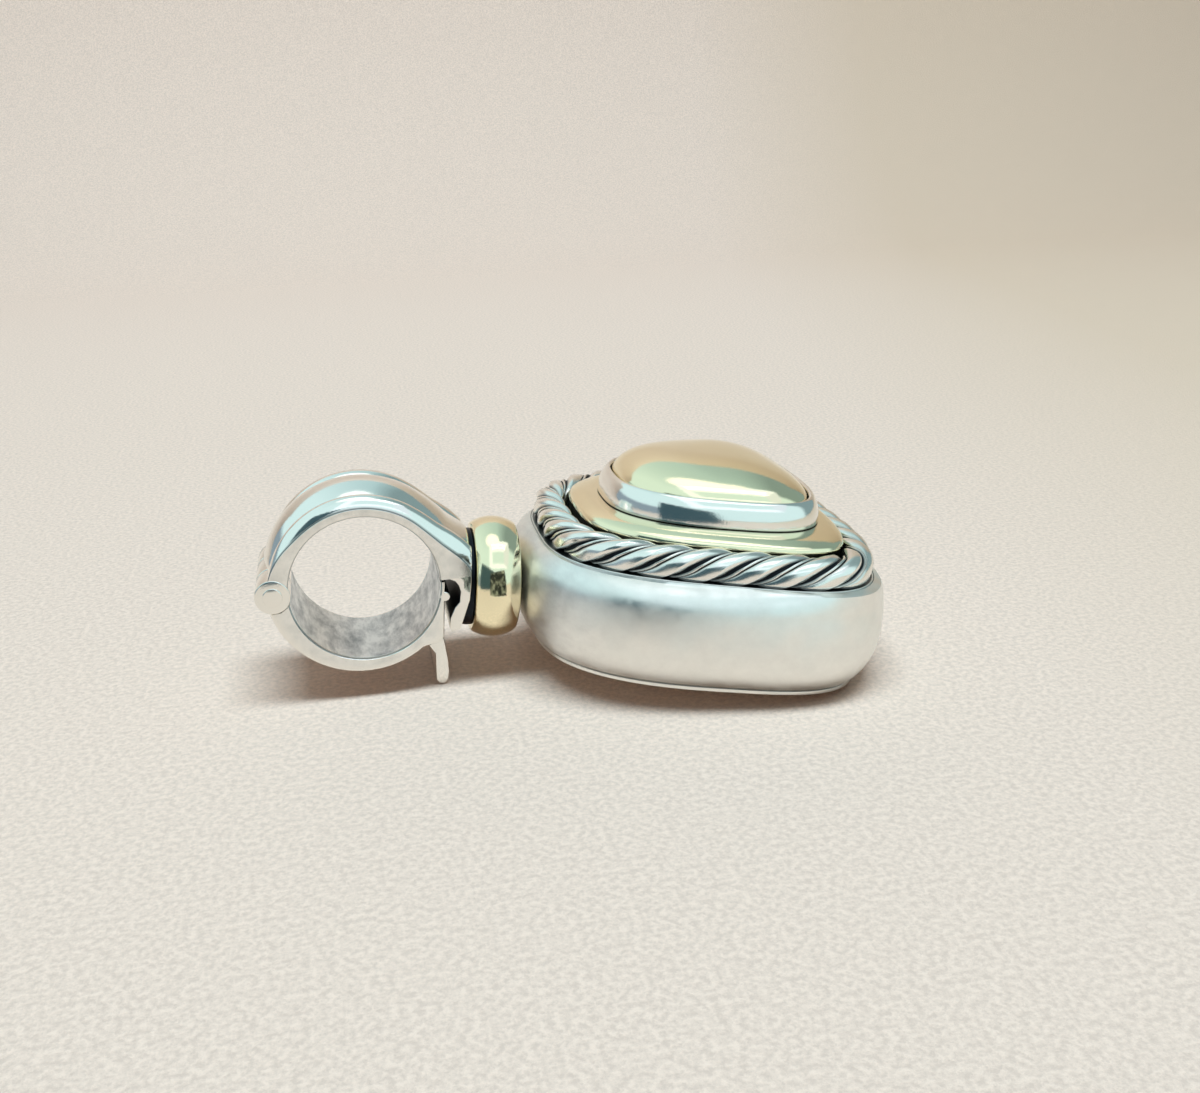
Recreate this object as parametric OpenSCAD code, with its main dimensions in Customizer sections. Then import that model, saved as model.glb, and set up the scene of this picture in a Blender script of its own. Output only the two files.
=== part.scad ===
// Pendant enhancer: a silver and gold jewel whose hinged bail clips over a strand of beads.
// It lies on its back: the far edge of the back plate and the bail's thumb tab touch the ground.
// The jewel is drawn level, with the bail's bore centre at the origin, and lie_down() tips it.

/* [Bail] */
// Bore of the bail, where the strand passes
bore_d = 9; // [8:0.1:9.2]
// Width of the bail along its bore
bail_w = 7.1; // [6:0.1:8]
// Crest diameter of the wide middle ridge
crest_d = 12.1; // [11.7:0.1:12.6]
// Outer diameter of the gate
gate_d = 11.1; // [10.9:0.1:11.4]
// Width of the gate's middle knuckle
knuckle_w = 2.6; // [2:0.1:3.4]
// Width of the thumb tab
tab_w = 5.6; // [2:0.1:6.4]

/* [Neck] */
// Largest diameter of the gold bead
bead_d = 7.7; // [6.8:0.1:8]
// Length of the gold bead along the neck
bead_l = 2.8; // [2.4:0.05:2.85]

/* [Pendant] */
// Length of the case from the neck to the far edge
case_l = 22.6; // [22.2:0.1:23]
// Width of the case halfway along
case_w = 23.9; // [23.4:0.1:25]
// How much wider the case grows towards its far edge
case_taper = 0.2; // [0.18:0.01:0.24]
// Squareness of the case outline, 2 is an ellipse
case_power = 2.85; // [2.8:0.05:3.1]
// Width of the rope border
rope_d = 2; // [1.8:0.05:2]
// Number of rope lobes round the border
rope_lobes = 28; // [22:1:32]
// Length of the bezel collar
bezel_l = 13.3; // [12.6:0.1:13.5]
// Width of the bezel collar halfway along
bezel_w = 13.9; // [13:0.1:14.2]
// Rise of the gold dome over the bezel's rim
dome_rise = 1.6; // [0.8:0.1:2.4]

/* [Hidden] */
silver = "#c9cbcd";
dark_silver = "#7d8288";
gold = "#d8c38c";
gap = 0.05;
eps = 0.01;

// Heights over the bore's centre
back_z = -4.12;
plate_top_z = -3.86;
case_low_z = -3.82;
wall_z = -0.6;
roll_z = 1.1;
shoulder_z = 2.4;
lip_z = 2.53;
deck_z = 2.36;
rope_z = 3.34;
tier_edge_z = 4.2;
tier_z = 4.79;
rim_z = 6.42;
neck_z = -0.45;

// Stations along the jewel
case_x = 20.85;
shoulder_x = 20.98;
lip_x = 20.87;
tier_x = 21.22;
bezel_x = 21.6;
case_left_x = case_x - case_l / 2;
bead_x = case_left_x - gap - bead_l;
foot_x = 6.36;
pin_x = -5.4;
pin_z = -0.46;
pin_r = 0.42;
pin_play = 0.03;
knuckle_r = 1.05;
knuckle_play = 0.07;
tab_low_z = -6.69;
tab_x = 4.86;

plate_inset = 1.33;

// Outlines seen from the top: length, width halfway along, squareness, taper
case_shape = [case_l, case_w, case_power, case_taper];
shoulder_shape = [20.15, 21.9, 3.5, 0.28];
lip_shape = [19.85, 21.3, 3.3, 0.26];
tier_shape = [16, 17.3, 3.3, 0.265];
bezel_shape = [bezel_l, bezel_w, 2.75, 0.23];
tier_foot = 0.55;
rope_inset = 1.05;
rope_squash = 0.93;
rope_start = 42;

// The jewel rests on the tab and on the far edge of the back plate
rest_x = case_x + case_l / 2 - plate_inset;
tilt = atan((back_z - tab_low_z) / (rest_x - tab_x));
lift = rest_x * sin(tilt) - back_z * cos(tilt);
middle_x = 12.748;

module lie_down() {
    translate([-middle_x, 0, lift]) rotate([0, tilt, 0]) children();
}

// Point at angle t on a rounded square that widens along x
function square_reach(t, power) =
    pow(pow(abs(cos(t)), power) + pow(abs(sin(t)), power), -1 / power);
function outline_point(shape, t) =
    let (reach = square_reach(t, shape[2]))
    [
        shape[0] / 2 * reach * cos(t),
        shape[1] / 2 * reach * sin(t) * (1 + shape[3] * reach * cos(t))
    ];

// The same point moved inwards by inset, square to the outline
function inset_point(shape, t, inset) =
    let (
        p = outline_point(shape, t),
        step = outline_point(shape, t + 0.5) - outline_point(shape, t - 0.5)
    )
    p + inset * [-step.y, step.x] / norm(step);

// One ring of a skin: level is [inset, z, shrink towards the middle]
function ring(shape, x, level, sides) = [
    for (i = [0:sides - 1])
        let (p = inset_point(shape, i * 360 / sides, level[0]))
        [x + p.x * level[2], p.y * level[2], level[1]]
];

// A ring part of the way from one ring to another, at its own height
function between(ring_a, ring_b, share, z) = [
    for (i = [0:len(ring_a) - 1])
        let (p = ring_a[i] + share * (ring_b[i] - ring_a[i]))
        [p.x, p.y, z]
];

// Skins a list of rings; a closed skin joins its last ring to its first
module skin(rings, closed) {
    sides = len(rings[0]);
    last = len(rings) - (closed ? 1 : 2);
    walls = [
        for (k = [0:last]) for (i = [0:sides - 1])
            let (
                n = (i + 1) % sides,
                a = k * sides,
                b = ((k + 1) % len(rings)) * sides
            )
            each [[a + i, b + i, b + n], [a + i, b + n, a + n]]
    ];
    low_cap = [for (i = [0:sides - 1]) i];
    high_cap = [for (i = [sides - 1:-1:0]) (len(rings) - 1) * sides + i];
    polyhedron(
        points = [for (r = rings) each r],
        faces = closed ? walls : concat(walls, [low_cap], [high_cap]),
        convexity = 8
    );
}

// Bulge of the case wall: inset at height z, under and over its widest line
function low_inset(z) = 2.9 * (1 - sqrt(1 - pow((wall_z - z) / 3.9, 2)));
function high_inset(z) = 9.8 - sqrt(9.8 * 9.8 - pow(z - wall_z, 2));

module case() {
    wall = 0.95;
    sides = 72;
    low = [for (z = [case_low_z, -3.5, -3.1, -2.6, -1.8, wall_z]) [low_inset(z), z, 1]];
    high = [for (z = [0.2, roll_z]) [high_inset(z), z, 1]];
    inside = [
        [3.3, deck_z, 0.86],
        [3.3, deck_z - 0.8, 0.86],
        [wall + 0.9, deck_z - 0.8, 1],
        [wall, -0.2, 1],
        [wall, -1.6, 1],
        [wall + 1.1, case_low_z, 1]
    ];
    // Shoulder: rolls from 10 to 60 degrees, then slopes up to the lip round the rope
    wall_ring = ring(case_shape, case_x, [high_inset(roll_z), roll_z, 1], sides);
    top_ring = ring(shoulder_shape, shoulder_x, [0, shoulder_z, 1], sides);
    shoulder = [
        for (a = [22, 34, 47, 60])
            between(
                wall_ring, top_ring, (cos(10) - cos(a)) / (cos(10) - cos(60)),
                roll_z + (shoulder_z - roll_z) * (sin(a) - sin(10)) / (sin(60) - sin(10))
            )
    ];
    groove = [
        ring(lip_shape, lip_x, [0, lip_z, 1], sides),
        ring(lip_shape, lip_x, [0.08, deck_z, 1], sides)
    ];
    color(silver) lie_down() difference() {
        skin(concat(
            [for (l = concat(low, high)) ring(case_shape, case_x, l, sides)],
            shoulder,
            groove,
            [for (l = inside) ring(case_shape, case_x, l, sides)]
        ), true);
        translate([case_left_x - 1, 0, neck_z]) rotate([0, 90, 0])
            cylinder(r = 1.2 + gap, h = 4, $fn = 48);
    }
}

module back_plate() {
    sheet = [for (i = [0:71]) inset_point(case_shape, i * 5, plate_inset)];
    plug = [for (i = [0:71]) inset_point(case_shape, i * 5, 2.05 + 2 * gap)];
    color(silver) lie_down() translate([case_x, 0, back_z]) {
        linear_extrude(plate_top_z - back_z) polygon(sheet);
        linear_extrude(plate_top_z - back_z + 0.5) polygon(plug);
    }
}

// Twisted rope: three strands wind along the lip, and rope_lobes of them pass each side
module rope_border() {
    strands = 3;
    around = 15;
    steps = 6;
    path_step = 3;
    stations = rope_lobes * steps;
    path = [for (t = [0:path_step:360]) inset_point(lip_shape, t, rope_inset)];
    last = len(path) - 1;
    // How far along the rope each angle of the path is, so that the lobes are laid evenly
    run = [
        for (i = 0, far = 0; i <= last; far = far + norm(path[min(i + 1, last)] - path[i]), i = i + 1)
            [far, i * path_step]
    ];
    function rope_reach(turn) = rope_d / 2 * (0.8 + 0.2 * pow(abs(sin(strands / 2 * turn)), 0.7));
    rings = [
        for (s = [0:stations - 1])
            let (
                t = lookup(s / stations * run[last][0], run),
                middle = inset_point(lip_shape, t, rope_inset),
                out = (inset_point(lip_shape, t, 0) - middle) / rope_inset,
                wind = s * 360 / steps / strands
            )
            [
                for (i = [around - 1:-1:0])
                    let (
                        a = i * 360 / around,
                        reach = rope_reach(a - wind + rope_start)
                    )
                    [
                        lip_x + middle.x + out.x * reach * cos(a),
                        middle.y + out.y * reach * cos(a),
                        rope_z + reach * rope_squash * sin(a)
                    ]
            ]
    ];
    color(dark_silver) lie_down() skin(rings, true);
}

// Stepped plate: stands inside the rope, its edge reaches over it and its top rolls up to the bezel
module gold_tier() {
    low_z = deck_z + gap;
    sides = 72;
    edge_ring = ring(tier_shape, tier_x, [0, tier_edge_z, 1], sides);
    top_ring = ring(bezel_shape, bezel_x, [-0.2, tier_z, 1], sides);
    foot = [[tier_foot, low_z, 1], [tier_foot, 3.95, 1], [0.05, 4.18, 1]];
    roll = [
        for (a = [0, 20, 42, 65, 90])
            between(edge_ring, top_ring, 1 - cos(a), tier_edge_z + (tier_z - tier_edge_z) * sin(a))
    ];
    color(gold) lie_down() skin(concat(
        [for (l = foot) ring(tier_shape, tier_x, l, sides)],
        roll,
        [
            ring(bezel_shape, bezel_x, [0, tier_z, 0.6], sides),
            ring(bezel_shape, bezel_x, [0, tier_z - 0.6, 0.6], sides),
            ring(tier_shape, tier_x, [1.25, 4, 1], sides),
            ring(tier_shape, tier_x, [1, low_z, 1], sides)
        ]
    ), true);
}

module bezel() {
    low_z = tier_z + gap;
    levels = [
        [0, low_z, 1],
        [0, 5.5, 1],
        [0.05, 5.9, 1],
        [0.16, 6.2, 1],
        [0.32, 6.37, 1],
        [0.5, rim_z, 1],
        [0.66, 6.36, 1],
        [0.75, 6.2, 1],
        [0.75, low_z, 1]
    ];
    color(silver) lie_down() skin([for (l = levels) ring(bezel_shape, bezel_x, l, 64)], true);
}

module gold_dome() {
    edge_inset = 0.75 + gap;
    edge_z = 6.1;
    top_z = rim_z + dome_rise;
    // Pillow curve: full height in the middle, steep at the edge
    function dome_z(s, top) = edge_z + (top - edge_z) * pow(1 - pow(s, 2.6), 0.62);
    outer = [for (s = [1, 0.985, 0.95, 0.88, 0.76, 0.6, 0.42, 0.22, 0.05]) [s, dome_z(s, top_z)]];
    inner = [for (s = [0.05, 0.35, 0.65, 0.85, 0.93]) [s, dome_z(s, top_z - 0.6) - 0.5]];
    color(gold) lie_down() skin([
        for (p = concat(inner, outer))
            ring(bezel_shape, bezel_x, [edge_inset, p[1], p[0]], 64)
    ], false);
}

module neck_bead() {
    end_r = 3.42;
    bulge = bead_d / 2 - end_r;
    arc_r = (pow(bead_l / 2, 2) + bulge * bulge) / (2 * bulge);
    color(gold) lie_down() translate([bead_x + bead_l / 2, 0, neck_z]) rotate([0, 90, 0])
        rotate_extrude($fn = 96) difference() {
            intersection() {
                translate([bead_d / 2 - arc_r, 0]) circle(r = arc_r, $fn = 96);
                translate([0, -bead_l / 2]) square([bead_d, bead_l]);
            }
            translate([-bead_d, -bead_l]) square([bead_d + 1.2 + gap, 2 * bead_l]);
        }
}

// Cylinder along the bore direction, at x and z
module cross_rod(x, z, r, w) {
    translate([x, w / 2, z]) rotate([90, 0, 0]) cylinder(r = r, h = w, $fn = 96);
}

// Side outline drawn in x and z, w wide along the bore
module cross_plate(points, w) {
    translate([0, w / 2, 0]) rotate([90, 0, 0]) linear_extrude(w) polygon(points);
}

// Section of the bail ring: flat band, wide middle ridge and a narrow one at each side
module ridge_section() {
    crest_r = crest_d / 2;
    band_r = 3.4;
    side_r = 0.7;
    difference() {
        union() {
            translate([bore_d / 2 - 0.5, -bail_w / 2]) square([1.05, bail_w]);
            intersection() {
                translate([crest_r - band_r, 0]) circle(r = band_r, $fn = 96);
                translate([0, -2.2]) square([crest_r + 1, 4.4]);
            }
            for (side = [-1, 1]) translate([4.98, side * (bail_w / 2 - side_r)])
                circle(r = side_r, $fn = 64);
        }
        translate([-crest_r, -bail_w]) square([crest_r + bore_d / 2 - 0.2, 2 * bail_w]);
    }
}

// Flare from the ring to the neck, round about the neck's axis
module neck_flare() {
    intersection() {
        translate([0, 0, neck_z]) rotate([0, 90, 0]) rotate_extrude($fn = 96)
            polygon([
                [0, 3.4], [5.2, 3.4], [5, 3.95], [4.72, 4.38], [4.42, 4.76],
                [4.02, 5.22], [3.62, 5.76], [3.28, foot_x], [0, foot_x]
            ]);
        translate([3.4, -bail_w / 2, 0.55]) cube([5, bail_w, 6]);
    }
}

module bail_foot() {
    cross_plate([
        [3, 0.55], [4.6, 0.55], [5.05, 0.6], [5.38, 0.47], [5.6, 0.2], [5.74, -0.21],
        [5.7, -0.86], [5.41, -1.25], [5.18, -1.9], [5.14, -2.56], [5.27, -2.83],
        [5.76, -2.64], [5.93, -2.18], [6.31, -0.74], [foot_x, 0.2], [6.3, 0.9], [5.98, 1.65],
        [4.99, 2.48], [4.38, 2.93], [3.2, 3.9]
    ], bail_w);
}

module bail_arch() {
    color(silver) lie_down() difference() {
        union() {
            intersection() {
                rotate([90, 0, 0]) rotate_extrude($fn = 96) ridge_section();
                translate([-8, -bail_w / 2, pin_z]) cube([8 + 3.8, bail_w, 10]);
            }
            intersection() {
                rotate([90, 0, 0]) rotate_extrude($fn = 96) ridge_section();
                translate([3, -bail_w / 2, 0.55]) cube([3.3, bail_w, 8]);
            }
            cross_rod(pin_x, pin_z, knuckle_r, bail_w);
            bail_foot();
            neck_flare();
            translate([foot_x - 0.5, 0, neck_z]) rotate([0, 90, 0])
                cylinder(r = 3.08, h = bead_x - gap - foot_x + 0.5, $fn = 96);
            translate([foot_x - 0.3, 0, neck_z]) rotate([0, 90, 0])
                cylinder(r = 1.2, h = case_left_x + 0.6 - foot_x + 0.3, $fn = 48);
        }
        cross_rod(0, 0, bore_d / 2, bail_w + 1);
        cross_rod(pin_x, pin_z, knuckle_r + knuckle_play, knuckle_w + 2 * knuckle_play);
        cross_rod(pin_x, pin_z, pin_r + eps, bail_w + 1);
        // Room behind the hook for the catch finger
        translate([3, -4, -4]) cube([2.08, 8, 4.54]);
    }
}

module gate() {
    half_w = bail_w / 2 - 0.04;
    gate_r = gate_d / 2;
    gate_x = -0.25;
    gate_z = 0.2;
    cut_w = bail_w + 1;
    color(silver) lie_down() difference() {
        union() {
            intersection() {
                translate([gate_x, 0, gate_z]) rotate([90, 0, 0]) rotate_extrude($fn = 96)
                    polygon([
                        [3, -half_w], [gate_r, -half_w], [gate_r + 0.12, 0.3 - half_w],
                        [gate_r + 0.2, -1.7], [gate_r + 0.2, 1.7],
                        [gate_r + 0.12, half_w - 0.3], [gate_r, half_w], [3, half_w]
                    ]);
                translate([-5.72, -half_w, -8]) cube([10.1, 2 * half_w, 8 + pin_z - 0.05]);
            }
            cross_rod(pin_x, pin_z, knuckle_r, knuckle_w);
            // Catch finger with its rounded nub
            cross_plate([
                [3, -4.2], [3.95, -3.86], [4.5, -3.62], [4.76, -3.3], [4.8, -1.37],
                [4.86, -0.7], [4.8, -0.1], [4.76, 0.3], [4.66, 0.42], [4, 0.42], [3, -2]
            ], 2 * half_w);
            cross_rod(4.82, -0.53, 0.3, 2 * half_w);
            // Thumb tab
            cross_plate([
                [3.9, -4], [4.78, -3.2], [5.02, -4], [5.2, -5], [5.3, -5.8], [5.26, -6.3],
                [5.1, -6.59], [tab_x, tab_low_z], [4.62, -6.6], [4.46, -6.35], [4.42, -5.6],
                [4.36, -4.6]
            ], tab_w);
        }
        cross_rod(0, 0, bore_d / 2, cut_w);
        cross_rod(pin_x, pin_z, pin_r + pin_play, cut_w);
        for (side = [-1, 1])
            translate([0, side * (knuckle_w / 2 + bail_w / 2), 0])
                cross_rod(pin_x, pin_z, knuckle_r + knuckle_play, bail_w);
    }
}

module hinge_pin() {
    color(silver) lie_down() cross_rod(pin_x, pin_z, pin_r, bail_w);
}

case();
back_plate();
rope_border();
gold_tier();
bezel();
gold_dome();
neck_bead();
bail_arch();
gate();
hinge_pin();
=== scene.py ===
"""Dresses the pendant enhancer: a silver and gold pendant on a hinged clip-on bail.

Every shape is modelled level, in millimetres round the bail's bore, and then laid on its back.
"""

import math

import bmesh
import bpy
from mathutils import Matrix, Vector


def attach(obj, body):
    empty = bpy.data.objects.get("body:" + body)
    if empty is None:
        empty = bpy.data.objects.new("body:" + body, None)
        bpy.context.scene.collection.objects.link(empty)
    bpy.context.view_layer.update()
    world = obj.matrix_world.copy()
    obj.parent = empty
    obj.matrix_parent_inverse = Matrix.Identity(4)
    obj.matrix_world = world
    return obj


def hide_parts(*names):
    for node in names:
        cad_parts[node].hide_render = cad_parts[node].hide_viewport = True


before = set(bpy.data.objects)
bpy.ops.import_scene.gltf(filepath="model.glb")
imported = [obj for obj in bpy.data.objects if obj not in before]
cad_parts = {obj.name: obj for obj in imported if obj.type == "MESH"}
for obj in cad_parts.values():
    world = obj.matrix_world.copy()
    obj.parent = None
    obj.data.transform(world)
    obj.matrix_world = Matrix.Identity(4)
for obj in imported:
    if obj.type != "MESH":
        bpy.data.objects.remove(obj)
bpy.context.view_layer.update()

bl_info = {
    "name": "Pendant enhancer",
    "version": (1, 0, 0),
    "blender": (4, 5, 0),
    "location": "3D View > Sidebar > Pendant enhancer",
    "description": "Builds the rope-bordered pendant, its bead and its hinged bail",
    "category": "Object",
}

MM = 0.001
PENDANT = "pendant"
GATE = "bail_gate"

# The level jewel tips about its bore and rises until the thumb tab and the far edge of the
# back rest on the ground.
TILT = math.radians(5.65377)
LIFT = 7.13625
MIDDLE_X = 12.748
LIE_DOWN = (
    Matrix.Scale(MM, 4)
    @ Matrix.Translation((-MIDDLE_X, 0, LIFT))
    @ Matrix.Rotation(TILT, 4, "Y")
)

# Heights and stations of the level jewel, in millimetres from the bore's centre
BACK_Z = -4.12
PLATE_TOP_Z = -3.86
CASE_LOW_Z = -3.82
WALL_Z = -0.6
ROLL_Z = 1.1
SHOULDER_Z = 2.4
LIP_Z = 2.57
DECK_Z = 2.36
ROPE_Z = 3.38
TIER_EDGE_Z = 4.38
TIER_Z = 4.79
RIM_Z = 6.42
NECK_Z = -0.45
CASE_X = 20.85
SHOULDER_X = 20.98
LIP_X = 20.87
TIER_X = 21.22
BEZEL_X = 21.6
FOOT_X = 6.36
PIN_X, PIN_Z = -5.4, -0.46
KNUCKLE_R = 1.05
HINGE_GAP = 0.07
NECK_R = 3.08
POST_R = 1.2
GAP = 0.05

# Outlines seen from the top: length, width halfway along, squareness and taper
SHOULDER_SHAPE = (20.15, 21.9, 3.5, 0.28)
LIP_SHAPE = (19.85, 21.3, 3.3, 0.26)
TIER_SHAPE = (16.0, 17.3, 3.3, 0.265)
ROPE_INSET = 1.05
ROPE_SQUASH = 0.97


def mm(length):
    """A length property, which is kept in metres, in millimetres."""
    return length / MM


def linear(hex_colour):
    """The linear colour of an sRGB hex value."""
    parts = [int(hex_colour[i : i + 2], 16) / 255 for i in (1, 3, 5)]
    return tuple(p / 12.92 if p <= 0.04045 else ((p + 0.055) / 1.055) ** 2.4 for p in parts)


# Sizes and colours that can be changed


class BailSizes(bpy.types.PropertyGroup):
    bore_d: bpy.props.FloatProperty(
        name="Bore", description="Opening for the strand", default=9 * MM, unit="LENGTH"
    )
    width: bpy.props.FloatProperty(
        name="Width", description="Bail along its bore", default=7.1 * MM, unit="LENGTH"
    )
    crest_d: bpy.props.FloatProperty(
        name="Crest", description="Over the middle ridge", default=12.1 * MM, unit="LENGTH"
    )
    gate_d: bpy.props.FloatProperty(
        name="Gate", description="Outside of the hinged half", default=11.1 * MM, unit="LENGTH"
    )
    knuckle_w: bpy.props.FloatProperty(
        name="Knuckle", description="Width of the gate's knuckle", default=2.6 * MM, unit="LENGTH"
    )
    tab_w: bpy.props.FloatProperty(
        name="Thumb tab", description="Width of the thumb tab", default=5.6 * MM, unit="LENGTH"
    )
    bead_d: bpy.props.FloatProperty(
        name="Bead diameter", description="Gold neck bead", default=7.7 * MM, unit="LENGTH"
    )
    bead_l: bpy.props.FloatProperty(
        name="Bead length", description="Gold bead along the neck", default=2.8 * MM, unit="LENGTH"
    )


class PendantSizes(bpy.types.PropertyGroup):
    case_l: bpy.props.FloatProperty(
        name="Case length", description="From neck to far edge", default=22.6 * MM, unit="LENGTH"
    )
    case_w: bpy.props.FloatProperty(
        name="Case width", description="Width halfway along", default=23.9 * MM, unit="LENGTH"
    )
    taper: bpy.props.FloatProperty(
        name="Taper", description="How much wider the far end is", default=0.2, subtype="FACTOR"
    )
    power: bpy.props.FloatProperty(
        name="Squareness", description="2 is an ellipse", default=2.85, subtype="FACTOR"
    )
    rope_d: bpy.props.FloatProperty(
        name="Rope", description="Width of the rope border", default=2 * MM, unit="LENGTH"
    )
    rope_lobes: bpy.props.IntProperty(
        name="Rope lobes", description="Lobes round the border", default=28, min=12
    )
    bezel_l: bpy.props.FloatProperty(
        name="Collar length", description="Bezel collar", default=13.3 * MM, unit="LENGTH"
    )
    bezel_w: bpy.props.FloatProperty(
        name="Collar width", description="Bezel collar", default=13.9 * MM, unit="LENGTH"
    )
    dome_rise: bpy.props.FloatProperty(
        name="Dome rise", description="Dome over the collar", default=1.6 * MM, unit="LENGTH"
    )


class MetalColours(bpy.types.PropertyGroup):
    silver: bpy.props.FloatVectorProperty(
        name="Silver", description="Sterling silver", subtype="COLOR", default=linear("#F4F1EA")
    )
    oxide_and_shade: bpy.props.FloatVectorProperty(
        name="Oxide", description="Blackened silver", subtype="COLOR", default=linear("#23272C")
    )
    cast: bpy.props.FloatVectorProperty(
        name="Cast skin", description="Unpolished inside", subtype="COLOR",
        default=linear("#EEF0F1"),
    )
    gold: bpy.props.FloatVectorProperty(
        name="Gold", description="14 carat yellow gold", subtype="COLOR", default=linear("#FBEFCB")
    )


class StageLook(bpy.types.PropertyGroup):
    floor: bpy.props.FloatVectorProperty(
        name="Floor", description="Warm pale card", subtype="COLOR", default=linear("#F0D4C3")
    )
    roof: bpy.props.FloatVectorProperty(
        name="Roof", description="Cool tent roof", subtype="COLOR", default=linear("#B4D5DA")
    )
    front: bpy.props.FloatVectorProperty(
        name="Front", description="Bright tent front", subtype="COLOR", default=linear("#DCFBFF")
    )
    low_side: bpy.props.FloatVectorProperty(
        name="Low side", description="Dim blue room on the left, under the tent", subtype="COLOR",
        default=linear("#8FA3B0"),
    )
    key_power: bpy.props.FloatProperty(
        name="Roof light", description="Power of the roof light", default=4.85, unit="POWER"
    )


# Outlines


def follow(table, x):
    """A smooth curve through a short table of (place, value) pairs, read at x."""
    if x <= table[0][0]:
        return table[0][1]
    if x >= table[-1][0]:
        return table[-1][1]
    i = next(k for k in range(len(table) - 1) if x <= table[k + 1][0])
    (x0, y0), (x1, y1) = table[i], table[i + 1]

    def slope(k):
        lo, hi = max(k - 1, 0), min(k + 1, len(table) - 1)
        return (table[hi][1] - table[lo][1]) / (table[hi][0] - table[lo][0])

    h = x1 - x0
    t = (x - x0) / h
    return (
        y0 * (1 + 2 * t) * (1 - t) ** 2
        + y1 * t * t * (3 - 2 * t)
        + h * slope(i) * t * (1 - t) ** 2
        - h * slope(i + 1) * t * t * (1 - t)
    )


def outline_point(length, width, power, taper, t):
    """A rounded square that widens along x, at angle t."""
    c, s = math.cos(t), math.sin(t)
    reach = (abs(c) ** power + abs(s) ** power) ** (-1 / power)
    return Vector((length / 2 * reach * c, width / 2 * reach * s * (1 + taper * reach * c)))


def inset_point(shape, t, inset):
    """The outline point at angle t, moved inwards square to the outline."""
    step = outline_point(*shape, t + 0.008) - outline_point(*shape, t - 0.008)
    return outline_point(*shape, t) + inset * Vector((-step.y, step.x)).normalized()


def track(shape, middle_x, inset, shrink=1.0):
    """A closed path round the jewel: it gives the point at angle t, seen from the top."""

    def at(t):
        p = inset_point(shape, t, inset) * shrink
        return Vector((middle_x + p.x, p.y))

    return at


def between(low, high, share):
    """The path a share of the way from one path to another."""
    return lambda t: low(t).lerp(high(t), share)


def laid_evenly(path, count):
    """The angles of stations spaced evenly along a closed path, the first one twice."""
    fine = 720
    points = [path(math.tau * i / fine) for i in range(fine + 1)]
    far = [0.0]
    for a, b in zip(points, points[1:]):
        far.append(far[-1] + (b - a).length)
    angles, i = [], 0
    for k in range(count + 1):
        goal = far[-1] * k / count
        while i < fine - 1 and far[i + 1] < goal:
            i += 1
        angles.append(math.tau * (i + (goal - far[i]) / (far[i + 1] - far[i])) / fine)
    return angles


def case_shape():
    s = bpy.context.scene.pendant_sizes
    return (mm(s.case_l), mm(s.case_w), s.power, s.taper)


def bezel_shape():
    s = bpy.context.scene.pendant_sizes
    return (mm(s.bezel_l), mm(s.bezel_w), 2.75, 0.23)


def bead_left():
    """Where the bead begins, beside the disc of the neck."""
    scene = bpy.context.scene
    case_left = CASE_X - mm(scene.pendant_sizes.case_l) / 2
    return case_left - GAP - mm(scene.bail_sizes.bead_l)


def arc(centre, radius, start, end, steps, squash=1.0):
    """Points (a, b) on an arc, angles in degrees; squash flattens it along b."""
    turn = [math.radians(start + (end - start) * i / steps) for i in range(steps + 1)]
    return [
        (centre[0] + radius * math.cos(a), centre[1] + radius * squash * math.sin(a)) for a in turn
    ]


# Mesh tools


def new_shape():
    """An empty mesh with layers for how rough-cast each point is and how dark: oxidised hollows and
    painted shade.
    """
    bm = bmesh.new()
    bm.verts.layers.float.new("oxide_and_shade")
    bm.verts.layers.float.new("cast")
    return bm


def bend_grid(bm, along, across, place):
    """Bends a flat grid: place(u, w) gives the point, its darkness for oxidised hollows and painted
    shade, and how rough-cast it is.
    """
    oxide_and_shade = bm.verts.layers.float["oxide_and_shade"]
    cast = bm.verts.layers.float["cast"]
    made = bmesh.ops.create_grid(bm, x_segments=along, y_segments=across, size=0.5)["verts"]
    for v in made:
        point, v[oxide_and_shade], v[cast] = place(v.co.x + 0.5, v.co.y + 0.5)
        v.co = point
    bmesh.ops.remove_doubles(bm, verts=made, dist=1e-4)
    return [v for v in made if v.is_valid]


def close_ends(bm):
    """Closes the open ends of what was bent so far."""
    bmesh.ops.holes_fill(bm, edges=[e for e in bm.edges if e.is_boundary], sides=0)


def skin_round(bm, levels, sides, worn=lambda p: 0.0):
    """Carries closed levels (path, z, oxide) round the jewel; worn(point) roughens its skin."""
    count = len(levels)

    def place(u, w):
        path, z, oxide_and_shade = levels[round(w * count) % count]
        p = path(u * math.tau)
        return (p.x, p.y, z), oxide_and_shade, worn(p)

    bend_grid(bm, sides, count, place)


def barrel(bm, x, z, radius, y_low, y_high, edge, sides=72):
    """A round bar along the bore direction, its end edges rounded."""
    turn = Matrix.Translation((x, (y_low + y_high) / 2, z)) @ Matrix.Rotation(math.pi / 2, 4, "X")
    made = bmesh.ops.create_cone(
        bm, cap_ends=True, segments=sides, radius1=radius, radius2=radius,
        depth=y_high - y_low, matrix=turn,
    )["verts"]
    rims = {e for v in made for e in v.link_edges if any(len(f.verts) > 4 for f in e.link_faces)}
    bmesh.ops.bevel(
        bm, geom=list(rims), offset=edge, segments=3, profile=0.5, affect="EDGES", material=-1
    )


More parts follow.
